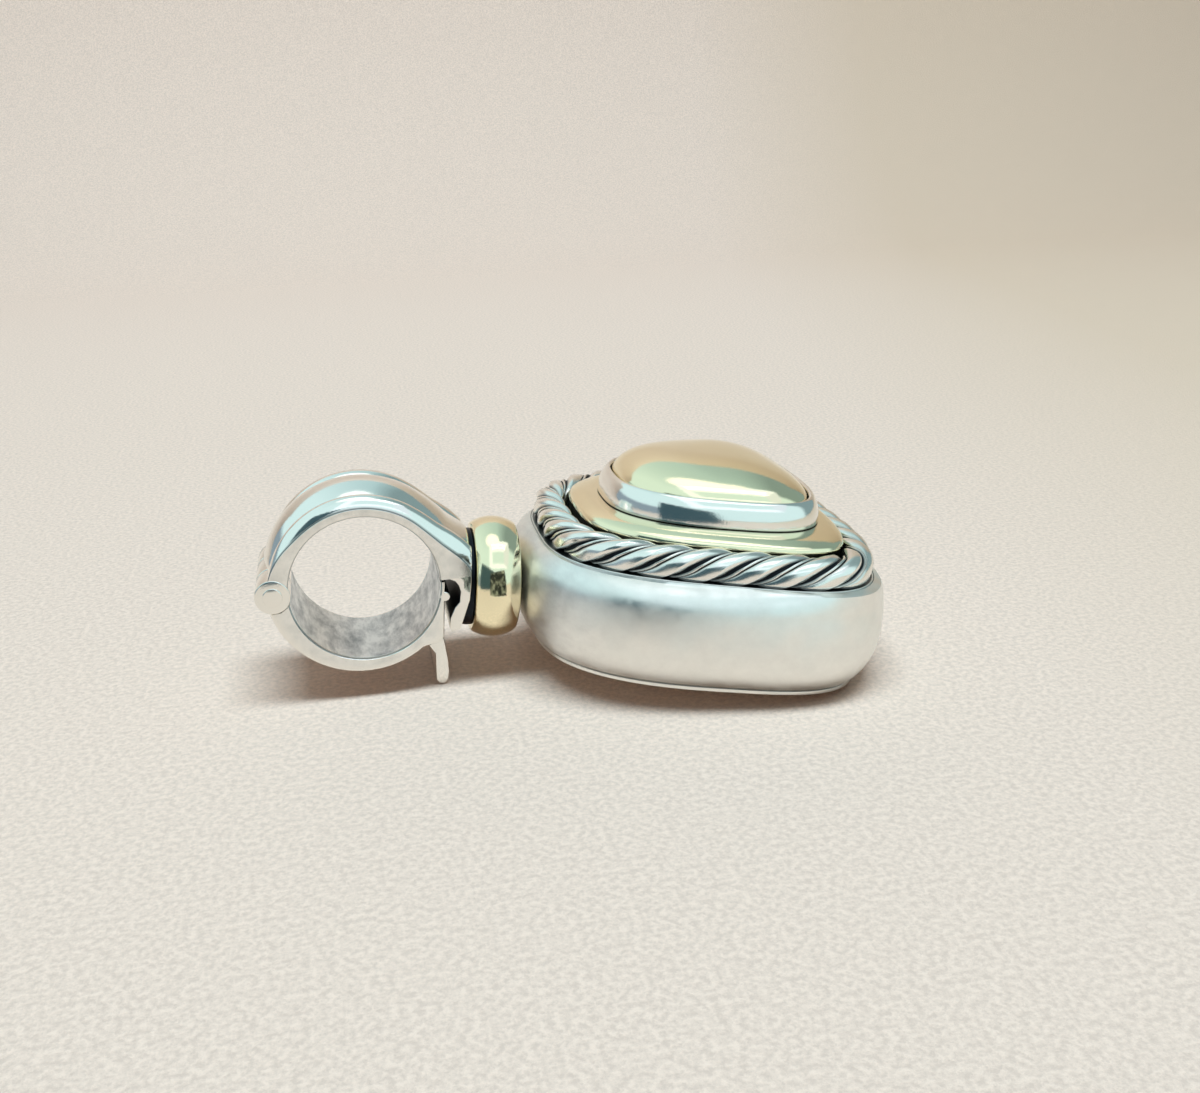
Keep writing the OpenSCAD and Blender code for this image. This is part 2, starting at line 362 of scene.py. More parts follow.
def plate(bm, points, y_low, y_high, edge):
    """A side outline in x and z, thickened along the bore direction, its edges rounded."""
    verts = [bm.verts.new((x, y_low, z)) for x, z in points]
    face = bm.faces.new(verts)
    pulled = bmesh.ops.extrude_face_region(bm, geom=[face])["geom"]
    tops = [g for g in pulled if isinstance(g, bmesh.types.BMVert)]
    bmesh.ops.translate(bm, verts=tops, vec=(0, y_high - y_low, 0))
    faces = {f for v in verts + tops for f in v.link_faces}
    bmesh.ops.recalc_face_normals(bm, faces=list(faces))
    edges = {e for f in faces for e in f.edges if e.calc_face_angle(0) > 0.6}
    bmesh.ops.bevel(
        bm, geom=list(edges), offset=edge, segments=3, profile=0.5, affect="EDGES",
        material=-1, clamp_overlap=True,
    )


def turned(bm, profile, centre, sides=128):
    """Spins a closed profile of (x, radius) points about the neck's axis."""
    verts = [bm.verts.new((x, 0, centre + r)) for x, r in profile]
    edges = [bm.edges.new(pair) for pair in zip(verts, verts[1:] + verts[:1])]
    bmesh.ops.spin(
        bm, geom=verts + edges, cent=(0, 0, centre), axis=(1, 0, 0), angle=math.tau,
        steps=sides, use_merge=True,
    )


def cut(bm, cutter):
    """Cuts one closed shape out of another and gives the result."""
    objects = []
    for name, shape in (("body", bm), ("tool", cutter)):
        mesh = bpy.data.meshes.new(name)
        shape.to_mesh(mesh)
        shape.free()
        objects.append(bpy.data.objects.new(name, mesh))
        bpy.context.scene.collection.objects.link(objects[-1])
    body, tool = objects
    step = body.modifiers.new("cut", "BOOLEAN")
    step.object, step.operation, step.solver = tool, "DIFFERENCE", "EXACT"
    graph = bpy.context.evaluated_depsgraph_get()
    result = bmesh.new()
    result.from_mesh(body.evaluated_get(graph).to_mesh())
    for o in objects:
        bpy.data.objects.remove(o)
    return result


def finish_piece(name, bm, material, node, body, sharp=35):
    """Lays a level shape down, shades it and puts it in the place of its node."""
    bmesh.ops.recalc_face_normals(bm, faces=bm.faces)
    bmesh.ops.transform(bm, matrix=LIE_DOWN, verts=bm.verts)
    mesh = bpy.data.meshes.new(name)
    bm.to_mesh(mesh)
    bm.free()
    mesh.shade_smooth()
    mesh.set_sharp_from_angle(angle=math.radians(sharp))
    mesh.materials.append(material)
    piece = bpy.data.objects.new(name, mesh)
    bpy.context.scene.collection.objects.link(piece)
    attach(piece, body)
    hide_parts(node)
    return piece


# Materials


def add_node(tree, kind, **settings):
    """Adds a node. Settings name its properties or its inputs, with _ for a space.

    i0 is input 0, for inputs that share a name.
    """
    node = tree.nodes.new(kind)
    for key, value in settings.items():
        if key[0] == "i" and key[1:].isdigit():
            socket = node.inputs[int(key[1:])]
        elif hasattr(node, key):
            setattr(node, key, value)
            continue
        else:
            socket = node.inputs[key.replace("_", " ")]
        if isinstance(value, bpy.types.NodeSocket):
            tree.links.new(value, socket)
        else:
            socket.default_value = value
    return node


def new_material(name):
    mat = bpy.data.materials.get(name) or bpy.data.materials.new(name)
    mat.use_nodes = True
    mat.node_tree.nodes.clear()
    return mat, mat.node_tree


def rgba(colour):
    return (*colour, 1.0)


def per_metre(size_mm):
    """The noise scale that gives features of this size."""
    return 1 / (size_mm * MM)


def metal(name, colour, rough, haze, oxide_rough=0.42, grain_mm=0.5, scratch=0.12, stain=None):
    """A worked metal: hazy patches, fine handling scratches, and the dark of oxidised grooves and
    of painted shade.

    stain is the darker colour of its unpolished skin, if it has one.
    """
    mat, tree = new_material(name)
    colours = bpy.context.scene.metal_colours
    place = add_node(tree, "ShaderNodeTexCoord").outputs["Object"]
    blotch = add_node(
        tree, "ShaderNodeTexNoise", Vector=place, Scale=per_metre(grain_mm * 4), Detail=5.0,
        Roughness=0.6,
    )
    fine = add_node(
        tree, "ShaderNodeTexNoise", Vector=place, Scale=per_metre(grain_mm / 4), Detail=3.0,
        Roughness=0.6,
    )
    # Handling scratches: noise drawn out along the jewel
    drawn = add_node(
        tree, "ShaderNodeMapping", Vector=place, Rotation=(0.35, 0.2, 0.5), Scale=(1, 14, 14)
    )
    lines = add_node(
        tree, "ShaderNodeTexNoise", Vector=drawn.outputs[0], Scale=per_metre(3.5), Detail=2.0
    )
    fine_lines = add_node(
        tree, "ShaderNodeMapRange", Value=lines.outputs["Fac"], i1=0.56, i2=0.66, i3=0.0, i4=1.0
    )
    mixed = add_node(
        tree, "ShaderNodeMapRange", Value=blotch.outputs["Fac"], i1=0.35, i2=0.68,
        i3=rough, i4=rough + haze,
    )
    oxide_and_shade = add_node(tree, "ShaderNodeAttribute", attribute_name="oxide_and_shade").outputs["Fac"]
    tone = add_node(
        tree, "ShaderNodeMix", data_type="RGBA", i0=oxide_and_shade, i6=rgba(colour),
        i7=rgba(colours.oxide_and_shade),
    ).outputs[2]
    roughness = add_node(
        tree, "ShaderNodeMix", i0=oxide_and_shade, i2=mixed.outputs[0], i3=oxide_rough
    ).outputs[0]
    relief = add_node(
        tree, "ShaderNodeMath", operation="MULTIPLY_ADD", i0=fine_lines.outputs[0], i1=-scratch,
        i2=fine.outputs["Fac"],
    ).outputs[0]
    relief_mm = 0.006
    if stain:
        # The unpolished skin is mottled grey, duller than the rest
        skin = add_node(tree, "ShaderNodeAttribute", attribute_name="cast").outputs["Fac"]
        streaks = add_node(
            tree, "ShaderNodeTexNoise", Scale=per_metre(0.8), Detail=6.0, Roughness=0.68,
            Vector=add_node(
                tree, "ShaderNodeMapping", Vector=place, Scale=(1.0, 0.4, 1.0)
            ).outputs[0],
        )
        grey = add_node(
            tree, "ShaderNodeMix", data_type="RGBA", i0=add_node(
                tree, "ShaderNodeMapRange", Value=streaks.outputs["Fac"], i1=0.38, i2=0.68
            ).outputs[0], i6=rgba(colours.cast), i7=rgba(linear(stain)),
        ).outputs[2]
        tone = add_node(
            tree, "ShaderNodeMix", data_type="RGBA", i0=skin, i6=tone, i7=grey
        ).outputs[2]
        roughness = add_node(tree, "ShaderNodeMix", i0=skin, i2=roughness, i3=0.38).outputs[0]
        relief = add_node(
            tree, "ShaderNodeMath", operation="MULTIPLY_ADD", i2=relief, i1=3.0,
            i0=add_node(
                tree, "ShaderNodeMath", operation="MULTIPLY", i0=streaks.outputs["Fac"], i1=skin
            ).outputs[0],
        ).outputs[0]
    bump = add_node(tree, "ShaderNodeBump", Strength=0.5, Distance=relief_mm * MM, Height=relief)
    shader = add_node(
        tree, "ShaderNodeBsdfPrincipled", Metallic=1.0, Base_Color=tone, Roughness=roughness,
        Normal=bump.outputs[0],
    )
    add_node(tree, "ShaderNodeOutputMaterial", Surface=shader.outputs[0])
    return mat


def polished_silver():
    """Sterling silver, buffed: mirror bright with faint haze from wear."""
    return metal("sterling silver, buffed", bpy.context.scene.metal_colours.silver, 0.07, 0.08)


def bail_silver():
    """Sterling silver, buffed outside and left as cast in the bore."""
    colour = bpy.context.scene.metal_colours.silver
    name = "sterling silver, buffed over a cast bore"
    return metal(name, colour, 0.07, 0.09, stain="#979EA4")


def satin_silver():
    """Sterling silver, satin: soft wide reflections and cloudy wear."""
    colour = bpy.context.scene.metal_colours.silver
    name = "sterling silver, satin"
    return metal(name, colour, 0.29, 0.26, grain_mm=0.35, scratch=0, stain="#C6C7CC")


def oxidised_silver():
    """Sterling silver, blackened in its grooves and buffed on its crests."""
    colour = bpy.context.scene.metal_colours.silver
    return metal("sterling silver, oxidised", colour, 0.16, 0.1, oxide_rough=0.5, grain_mm=0.3)


def yellow_gold():
    """14 carat yellow gold, polished: pale, warm and very smooth."""
    colour = bpy.context.scene.metal_colours.gold
    return metal("14 carat gold, polished", colour, 0.07, 0.06)


# Pieces


class PENDANT_OT_case(bpy.types.Operator):
    """Satin case with its rounded shoulder and the thin sheet that closes its back"""

    bl_idname = "pendant.case"
    bl_label = "Case and back"

    def execute(self, context):
        silver = satin_silver()
        shape = case_shape()

        def case_at(inset, shrink=1.0):
            return track(shape, CASE_X, inset, shrink)

        def lip_at(inset):
            return track(LIP_SHAPE, LIP_X, inset)

        wall = arc((2.9, WALL_Z), 2.9, 235.65, 180, 14, 3.9 / 2.9)
        wall += arc((9.8, WALL_Z), 9.8, 180, 170, 6)[1:]
        levels = [(case_at(inset), z, 0) for inset, z in wall]
        # Its foot is dark where it meets the back sheet
        levels[0] = (*levels[0][:2], 0.9)
        # The shoulder rolls from 10 to 60 degrees, then slopes up to the lip round the rope
        low, high = case_at(wall[-1][0]), track(SHOULDER_SHAPE, SHOULDER_X, 0)
        first, last, steps = math.radians(10), math.radians(60), 14
        for i in range(1, steps + 1):
            a = first + (last - first) * i / steps
            share = (math.cos(first) - math.cos(a)) / (math.cos(first) - math.cos(last))
            rise = (math.sin(a) - math.sin(first)) / (math.sin(last) - math.sin(first))
            levels.append((between(low, high, share), ROLL_Z + (SHOULDER_Z - ROLL_Z) * rise, 0))
        # The lip is a fine raised line with a dark line on both sides
        levels += [
            (lip_at(inset), z, oxide_and_shade)
            for inset, z, oxide_and_shade in (
                (-0.12, LIP_Z - 0.035, 0), (-0.09, LIP_Z - 0.035, 0.4), (-0.06, LIP_Z - 0.07, 1),
                (-0.04, LIP_Z - 0.03, 0.3), (-0.01, LIP_Z, 0), (0.04, LIP_Z, 0),
                (0.07, LIP_Z - 0.03, 0.5), (0.09, LIP_Z - 0.08, 1),
            )
        ]
        # The deck under the rope and the gold step is painted dark, and so is the case's inner foot
        levels += [
            (case_at(3.3, 0.86), DECK_Z, 1),
            (case_at(3.3, 0.86), DECK_Z - 0.8, 0),
            (case_at(1.85), DECK_Z - 0.8, 0),
            (case_at(0.95), -0.2, 0),
            (case_at(0.95), -1.6, 0),
            (case_at(2.05), CASE_LOW_Z, 0.6),
        ]

        def worn(p):
            """The satin is cloudy all over and most worn beside the neck."""
            return 0.15 + 0.3 * min(1, max(0, (14 - p.x) / 3.5))

        bm = new_shape()
        skin_round(bm, levels, 216, worn)
        finish_piece("case_shell", bm, silver, "case", PENDANT, 40)

        edge = 0.05
        inset = 1.33
        # The sheet's top, tucked under the case's edge, is painted dark
        sheet = [
            (case_at(inset + edge), BACK_Z, 0),
            (case_at(inset + 0.01), BACK_Z + 0.015, 0),
            (case_at(inset), BACK_Z + edge, 0),
            (case_at(inset), PLATE_TOP_Z - edge, 0),
            (case_at(inset + edge), PLATE_TOP_Z, 0.4),
            (case_at(2.15), PLATE_TOP_Z, 1),
            (case_at(2.15), PLATE_TOP_Z + 0.5, 1),
            (case_at(2.15, 0.001), PLATE_TOP_Z + 0.5, 0),
            (case_at(inset, 0.001), BACK_Z, 0),
        ]
        bm = new_shape()
        skin_round(bm, sheet, 216)
        finish_piece("back_sheet", bm, silver, "back_plate", PENDANT)
        return {"FINISHED"}


class PENDANT_OT_rope(bpy.types.Operator):
    """Twisted rope that borders the case: three thick strands with a flat wire between them"""

    bl_idname = "pendant.rope"
    bl_label = "Rope border"

    def execute(self, context):
        sizes = context.scene.pendant_sizes
        lobes = sizes.rope_lobes
        radius = mm(sizes.rope_d) / 2
        # The start turns the strands to where they lie beside the neck
        strands, start = 3, -0.2
        # Section of one strand and its wire: (share of the strand's turn, reach, oxide).
        # The lobe takes this share of it, and the wire with its dark grooves the rest.
        lobe_share = 0.72
        section = []
        for i in range(21):
            q = i / 20
            crown = min(1, (q / 0.3) ** 0.5) * (1 - q**3) ** 0.6
            section.append((lobe_share * q, 0.69 + 0.31 * crown, max(0, 1 - crown * 1.9)))
        wire = (
            (0.06, 0.77, 0.9), (0.12, 0.81, 0.2), (0.18, 0.83, 0), (0.36, 0.84, 0),
            (0.44, 0.82, 0.4), (0.5, 0.72, 1), (0.9, 0.67, 1),
        )
        for share, reach, dark in wire:
            section.append((lobe_share + share * (1 - lobe_share), reach, dark))
        count = len(section)
        columns = strands * count
        middle = track(LIP_SHAPE, LIP_X, ROPE_INSET)
        lip = track(LIP_SHAPE, LIP_X, 0)
        stations = lobes * 18
        angles = laid_evenly(middle, stations)

        def place(u, w):
            column = round(w * columns) % columns
            strand, i = divmod(column, count)
            share, reach, dark = section[i]
            turn = math.tau * (strand + share + start + u * lobes) / strands
            t = angles[round(u * stations)]
            m = middle(t)
            out = (lip(t) - m) / ROPE_INSET
            r = radius * reach
            c, s = math.cos(turn), math.sin(turn)
            if s < 0:
                # The underside is fuller, so that the lobes sit against the lip
                c, s = math.copysign(abs(c) ** 0.3, c), -abs(s) ** 0.8
            elif c < 0:
                # Towards the gold step its top stays high too
                c, s = -abs(c) ** 0.8, s**0.6
            side = m + out * r * c
            return (side.x, side.y, ROPE_Z + r * ROPE_SQUASH * s), dark, 0.0

        bm = new_shape()
        bend_grid(bm, stations, columns, place)
        finish_piece(
            "rope_strands", bm, oxidised_silver(), "rope_border", PENDANT, 60
        )
        return {"FINISHED"}


class PENDANT_OT_gold_top(bpy.types.Operator):
    """Gold step with its rolled shoulder and the low gold pillow in the collar"""

    bl_idname = "pendant.gold_top"
    bl_label = "Gold step and dome"

    def execute(self, context):
        sizes = context.scene.pendant_sizes
        gold = yellow_gold()
        low = DECK_Z + GAP

        def tier_at(inset):
            return track(TIER_SHAPE, TIER_X, inset)

        # The plate stands inside the rope, reaches over it and rolls up to the collar
        edge, top = tier_at(0.1), track(bezel_shape(), BEZEL_X, -0.2)
        beside_rope = track(LIP_SHAPE, LIP_X, 2.1)

        def foot(t):
            a, b = tier_at(0.12)(t), beside_rope(t)
            return min(a, b, key=lambda p: (p - Vector((TIER_X, 0))).length)

        # The foot beside the rope, under the step's overhang, is painted dark and its lower edge a
        # little: painted shade
        levels = [(foot, low, 0.8), (foot, 3.95, 0.8), (tier_at(0.05), 4.06, 0.2)]
        levels += [(tier_at(0.01), 4.09, 0), (tier_at(0), 4.13, 0)]
        levels += [(tier_at(0.03), 4.25, 0), (tier_at(0.09), TIER_EDGE_Z - 0.02, 0)]
        first, steps = math.radians(14), 15
        for i in range(steps + 1):
            a = first + (math.pi / 2 - first) * i / steps
            share = 1 - math.cos(a) / math.cos(first)
            rise = (math.sin(a) - math.sin(first)) / (1 - math.sin(first))
            z = TIER_EDGE_Z + (TIER_Z - TIER_EDGE_Z) * rise
            levels.append((between(edge, top, share), z, 0))
        levels += [
            (track(bezel_shape(), BEZEL_X, 0.2), TIER_Z, 0),
            (track(bezel_shape(), BEZEL_X, 0, 0.6), TIER_Z, 0),
            (track(bezel_shape(), BEZEL_X, 0, 0.6), TIER_Z - 0.6, 0),
            (tier_at(1.25), 4.0, 0),
            (tier_at(1), low, 0),
        ]
        bm = new_shape()
        skin_round(bm, levels, 216)
        finish_piece("gold_step", bm, gold, "gold_tier", PENDANT, 50)

        edge_z = 6.1
        top_z = RIM_Z + mm(sizes.dome_rise)
        thick = 0.6

        def dome_z(s, top):
            return edge_z + (top - edge_z) * (1 - s**2.8) ** 0.58

        def dome_at(share):
            """A ring of the dome, whose crown lies a little towards the neck."""
            crown_shift = 1.3
            return track(bezel_shape(), BEZEL_X - crown_shift * (1 - share), 0.8, share)

        shares = [math.sin(math.pi / 2 * i / 40) for i in range(41)]
        levels = [(dome_at(s), dome_z(s, top_z), 0) for s in shares]
        levels += [
            (dome_at(s), dome_z(s, top_z - thick) - 0.5, 0) for s in (0.93, 0.85, 0.6, 0.3, 0)
        ]
        bm = new_shape()
        skin_round(bm, levels, 180)
        finish_piece("gold_pillow", bm, gold, "gold_dome", PENDANT, 60)
        return {"FINISHED"}


class PENDANT_OT_collar(bpy.types.Operator):
    """Polished silver collar that holds the dome"""

    bl_idname = "pendant.collar"
    bl_label = "Collar"

    def execute(self, context):
        low = TIER_Z + GAP
        # The wall leans in more and more towards its rounded rim
        # Its foot on the gold step is painted dark as a painted shadow line, and the inside of its
        # rim over the dome is painted dark too
        section = [(0, low, 0.6), (0, low + 0.08, 0), (0.02, 5.3, 0), (0.05, 5.5, 0)]
        section += [(0.1, 5.7, 0), (0.16, 5.87, 0), (0.23, 6.03, 0), (0.3, 6.16, 0)]
        section += [(0.37, 6.26, 0), (0.44, 6.34, 0), (0.51, 6.39, 0), (0.58, 6.42, 0)]
        section += [(0.64, 6.41, 0), (0.7, 6.37, 0), (0.75, 6.3, 0.2), (0.75, 6.2, 0.7)]
        section += [(0.75, low, 0)]
        levels = [(track(bezel_shape(), BEZEL_X, i), z, oxide_and_shade) for i, z, oxide_and_shade in section]
        bm = new_shape()
        skin_round(bm, levels, 216)
        finish_piece("collar", bm, polished_silver(), "bezel", PENDANT, 50)
        return {"FINISHED"}


class PENDANT_OT_bead(bpy.types.Operator):
    """Gold barrel bead between the bail and the case"""

    bl_idname = "pendant.bead"
    bl_label = "Neck bead"

    def execute(self, context):
        sizes = context.scene.bail_sizes
        length, top = mm(sizes.bead_l), mm(sizes.bead_d) / 2
        left = bead_left()
        end_r, bore_r = 3.42, 1.25
        bulge = top - end_r
        bow = ((length / 2) ** 2 + bulge**2) / (2 * bulge)
        middle = left + length / 2
        edge = 0.09
        reach = math.degrees(math.asin((length / 2 - edge) / bow))
        # Barrel curve between two small rounded edges
        half = [(middle + y, r) for r, y in arc((top - bow, 0), bow, 0, reach, 14)]
        half += [(left + length - 0.025, end_r - 0.01), (left + length, end_r - edge)]
        half += [(left + length, bore_r)]
        profile = [(2 * middle - x, r) for x, r in half[:0:-1]] + half
        bm = new_shape()
        turned(bm, profile, NECK_Z, 160)
        finish_piece("barrel_bead", bm, yellow_gold(), "neck_bead", PENDANT, 40)
        return {"FINISHED"}


# Reach of the arch over the bore's centre at angles from the neck, in degrees and millimetres
FLAT_REACH = (
    (7, 6.45), (10, 6.44), (15, 6.21), (26, 5.58), (34, 5.27), (46, 5.07), (60, 5.05), (128, 5.05),
    (138, 5.09), (147, 5.18), (156, 5.36), (166, 5.56), (174, 5.68), (186, 5.7),
)
RIM_REACH = (
    (7, 7.6), (15, 7.1), (21, 6.81), (27, 6.52), (33, 6.22), (40, 5.92), (46, 5.78), (56, 5.7),
    (70, 5.69), (150, 5.69), (165, 5.7), (174, 5.74), (186, 5.74),
)
VALLEY_REACH = (
    (7, 7.4), (15, 6.9), (20, 6.6), (26, 6.3), (33, 5.95), (43, 5.5), (50, 5.33), (60, 5.25),
    (150, 5.25), (165, 5.35), (174, 5.6), (186, 5.68),
)
CREST_REACH = (
    (7, 8.2), (15, 7.5), (20, 7.2), (24, 6.96), (29, 6.57), (34, 6.32), (40, 6.2), (46, 6.11),
    (56, 6.05), (165, 6.05), (172, 6.02), (175, 5.8), (186, 5.75),
)


def arch_section(angle, bore_r, half_w, crest_r):
    """Section of the ridged arch: (y, reach, oxide, cast) from the near face round to the bore."""
    flat = follow(FLAT_REACH, angle)
    rim = follow(RIM_REACH, angle)
    valley = follow(VALLEY_REACH, angle)
    crest = follow(CREST_REACH, angle) + crest_r - 6.05
    rim_y, valley_y = half_w - 0.7, half_w - 1.35
    half = [(half_w, bore_r + 0.1, 0, 0.3), (half_w, bore_r + 0.3, 0, 0.3)]
    half += [(half_w, flat - 0.05, 0, 0.3)]
    # A fine dark step where the flat face meets the rim
    half += [(half_w - 0.03, flat - 0.01, 1, 0)]
    low = math.radians(28)
    for i in range(9):
        b = low + (math.pi / 2 - low) * i / 9
        rise = (math.sin(b) - math.sin(low)) / (1 - math.sin(low))
        y = rim_y + 0.66 * math.cos(b) / math.cos(low)
        half.append((y, flat + (rim - flat) * rise, 0 if i else 0.8, 0))
    half += [
        (rim_y - 0.65 * math.sin(b), valley + (rim - valley) * math.cos(b), 0, 0)
        for b in (math.pi / 2 * i / 8 for i in range(8))
    ]
    half += [(valley_y + 0.02, valley - 0.01, 0.8, 0), (valley_y - 0.02, valley - 0.01, 0.8, 0)]
    bow = 3.4
    sag = bow - math.sqrt(bow**2 - valley_y**2)
    for i in range(1, 11):
        y = valley_y * math.cos(math.pi / 2 * i / 10)
        rise = (math.sqrt(bow**2 - y**2) - bow + sag) / sag
        half.append((y, valley + (crest - valley) * rise, 0, 0))
    near = [(-y, r, o, c) for y, r, o, c in half]
    far = half[-2::-1]
    # Just inside the bore's edges it is painted dark
    inside = [(half_w - 0.03, bore_r + 0.03, 0.7, 0), (half_w - 0.1, bore_r, 0.2, 0.4)]
    bore = [((half_w - 0.16) * (1 - i / 5), bore_r, 0, 1) for i in range(11)]
    back = [(-y, r, o, c) for y, r, o, c in inside[::-1]]
    return near + far + inside + bore + back


class PENDANT_OT_arch(bpy.types.Operator):
    """Fixed upper half of the bail: three ridges, the foot with its catch hook, and the neck"""

    bl_idname = "pendant.arch"
    bl_label = "Bail arch"

    def execute(self, context):
        sizes = context.scene.bail_sizes
        bore_r, half_w = mm(sizes.bore_d) / 2, mm(sizes.width) / 2
        crest_r = mm(sizes.crest_d) / 2
        knuckle_w = mm(sizes.knuckle_w)
        rows = 230
        start, end = 7.0, 186.0
        sections = []
        for k in range(rows + 1):
            angle = start + (end - start) * k / rows
            sections.append((math.radians(angle), arch_section(angle, bore_r, half_w, crest_r)))
        count = len(sections[0][1])

        def place(u, w):
            angle, section = sections[round(u * rows)]
            y, r, oxide_and_shade, cast = section[round(w * count) % count]
            if math.cos(angle) > 0:
                r = min(r, FOOT_X / math.cos(angle))
            return (r * math.cos(angle), y, r * math.sin(angle)), oxide_and_shade, cast

        bm = new_shape()
        bend_grid(bm, rows, count, place)
        close_ends(bm)
        # The gate's knuckle turns in this slot
        slot = new_shape()
        slot_w = knuckle_w / 2 + HINGE_GAP
        barrel(slot, PIN_X, PIN_Z, KNUCKLE_R + HINGE_GAP, -slot_w, slot_w, 0.001)
        bmesh.ops.recalc_face_normals(bm, faces=bm.faces)
        bm = cut(bm, slot)
        for side in (-1, 1):
            ends = sorted((side * slot_w, side * (half_w + 0.03)))
            barrel(bm, PIN_X, PIN_Z, KNUCKLE_R, *ends, 0.06)
        # Foot with its socket, painted black, and the hook that catches the gate's finger
        plate(bm, [
            (4.47, 0.54), (4.6, 0.55), (5.05, 0.6), (5.38, 0.47), (5.6, 0.2), (5.74, -0.21),
            (5.7, -0.86), (5.41, -1.25), (5.18, -1.9), (5.14, -2.56), (5.27, -2.83),
            (5.76, -2.64), (5.93, -2.18), (6.31, -0.74), (6.36, 0.2), (6.36, 0.9), (6, 1.1),
            (4.7, 0.9),
        ], -half_w + 0.005, half_w - 0.005, 0.04)
        # Neck disc and the post that goes through the bead into the case, both painted black
        disc_end, post_end = bead_left() - GAP, bead_left() + mm(sizes.bead_l) + 0.6
        before_neck = set(bm.verts)
        turned(bm, [
            (FOOT_X - 0.4, 0.3), (FOOT_X - 0.4, 3.0), (FOOT_X, NECK_R), (disc_end, NECK_R),
            (disc_end, POST_R), (post_end, POST_R), (post_end, 0.3),
        ], NECK_Z)
        # Paints the socket, the neck disc and the post black
        oxide_and_shade = bm.verts.layers.float["oxide_and_shade"]
        for v in bm.verts:
            in_socket = 4.9 < v.co.x < 5.8 and -2.4 < v.co.z < 0.62 and abs(v.co.y) < half_w - 0.03
            if in_socket or v not in before_neck:
                v[oxide_and_shade] = 1.0
        finish_piece("ridged_arch", bm, bail_silver(), "bail_arch", PENDANT, 32)
        return {"FINISHED"}


def gate_reach(angle, gate_r):
    """Outside of the gate from the bore's centre, at an angle in degrees."""
    if angle < 312:
        a = math.radians(angle)
        along = math.cos(a) * -0.25 + math.sin(a) * 0.2
        return along + math.sqrt(along**2 - 0.1025 + gate_r**2)
    if angle < 325:
        return follow(((312, 5.24), (316, 5.42), (321, 5.74), (325, 5.76)), angle)
    return min(5.76, 4.78 / math.cos(math.radians(angle)))


class PENDANT_OT_gate(bpy.types.Operator):
    """Hinged lower half of the bail: band, middle knuckle, catch finger and thumb tab"""

    bl_idname = "pendant.gate"
    bl_label = "Bail gate"

    def execute(self, context):
        sizes = context.scene.bail_sizes
        bore_r, half_w = mm(sizes.bore_d) / 2, mm(sizes.width) / 2 - 0.04
        gate_r = mm(sizes.gate_d) / 2
        knuckle = mm(sizes.knuckle_w) / 2
        pin_r = math.hypot(PIN_X, PIN_Z)
        pin_angle = 180 + math.degrees(math.atan2(-PIN_Z, -PIN_X))
        rows = 220

        def first_angle(r):
            """Where the band begins, clear of the outer knuckles."""
            part = (r * r + pin_r**2 - (KNUCKLE_R + HINGE_GAP) ** 2) / (2 * r * pin_r)
            return pin_angle + math.degrees(math.acos(min(1, part)))

        def section(reach, crowned):
            """(y, r, cast) of the band, from the near face round to the bore."""
            half = [(half_w, bore_r + 0.1, 0.3), (half_w, (bore_r + reach) / 2, 0.3)]
            half += [(half_w - 0.12 + a, b, 0) for a, b in arc((0, reach - 0.12), 0.12, 0, 80, 4)]
            half += [(half_w - 0.4, reach + 0.09 * crowned, 0), (1.7, reach + 0.19 * crowned, 0)]
            half += [(0, reach + 0.2 * crowned, 0)]
            near = [(-y, r, c) for y, r, c in half]
            far = half[-2::-1]
            inside = [(half_w - 0.06, bore_r + 0.05, 0), (half_w - 0.16, bore_r + 0.01, 0)]
            inside += [(half_w - 0.2, bore_r, 0.4)]
            bore = [((half_w - 0.26) * (1 - i / 5), bore_r, 1) for i in range(11)]
            back = [(-y, r, c) for y, r, c in inside[::-1]]
            return near + far + inside + bore + back

        count = len(section(5.5, 1))

        def place(u, w):
            nominal = 193 + (365 - 193) * u
            reach = gate_reach(nominal, gate_r)
            crowned = follow(((300, 1), (318, 0)), nominal)
            y, r, cast = section(reach, crowned)[round(w * count) % count]
            begin = first_angle(max(r, 4.4))
            angle = math.radians(begin + (365 - begin) * u)
            return (r * math.cos(angle), y, r * math.sin(angle)), 0.0, cast

        bm = new_shape()
        bend_grid(bm, rows, count, place)
        close_ends(bm)
        barrel(bm, PIN_X, PIN_Z, KNUCKLE_R, -knuckle, knuckle, 0.06)
        # Web from the middle knuckle into the band
        plate(bm, [
            (-5.0, -0.2), (-5.9, -1.2), (-5.6, -1.9), (-5.2, -2.1), (-4.5, -1.4), (-4.52, -0.6),
        ], -knuckle, knuckle, 0.03)
        # The nub that snaps behind the hook, and the thumb tab
        barrel(bm, 4.8, -0.53, 0.3, -half_w + 0.01, half_w - 0.01, 0.05, 32)
        tab = mm(sizes.tab_w) / 2
        plate(bm, [
            (3.9, -4), (4.78, -3.2), (5.02, -4), (5.2, -5), (5.3, -5.8), (5.26, -6.3),
            (5.1, -6.59), (4.86, -6.69), (4.62, -6.6), (4.46, -6.35), (4.42, -5.6), (4.36, -4.6),
        ], -tab, tab, 0.15)
        finish_piece("gate_band", bm, bail_silver(), "gate", GATE, 32)
        return {"FINISHED"}


class PENDANT_OT_rivet(bpy.types.Operator):
    """Hinge pin, riveted flush into the outer knuckles"""

    bl_idname = "pendant.rivet"
    bl_label = "Hinge rivet"

    def execute(self, context):
        half_w = mm(context.scene.bail_sizes.width) / 2
        pin_r, head_r = 0.34, 0.58
        bm = new_shape()
        barrel(bm, PIN_X, PIN_Z, pin_r, -half_w + 0.02, half_w - 0.02, 0.02, 48)
        for side in (-1, 1):
            ends = sorted((side * (half_w - 0.1), side * (half_w + 0.07)))
            barrel(bm, PIN_X, PIN_Z, head_r, *ends, 0.05, 48)
        finish_piece(
            "hinge_rivet", bm, polished_silver(), "hinge_pin", PENDANT
        )
        return {"FINISHED"}


# Stage


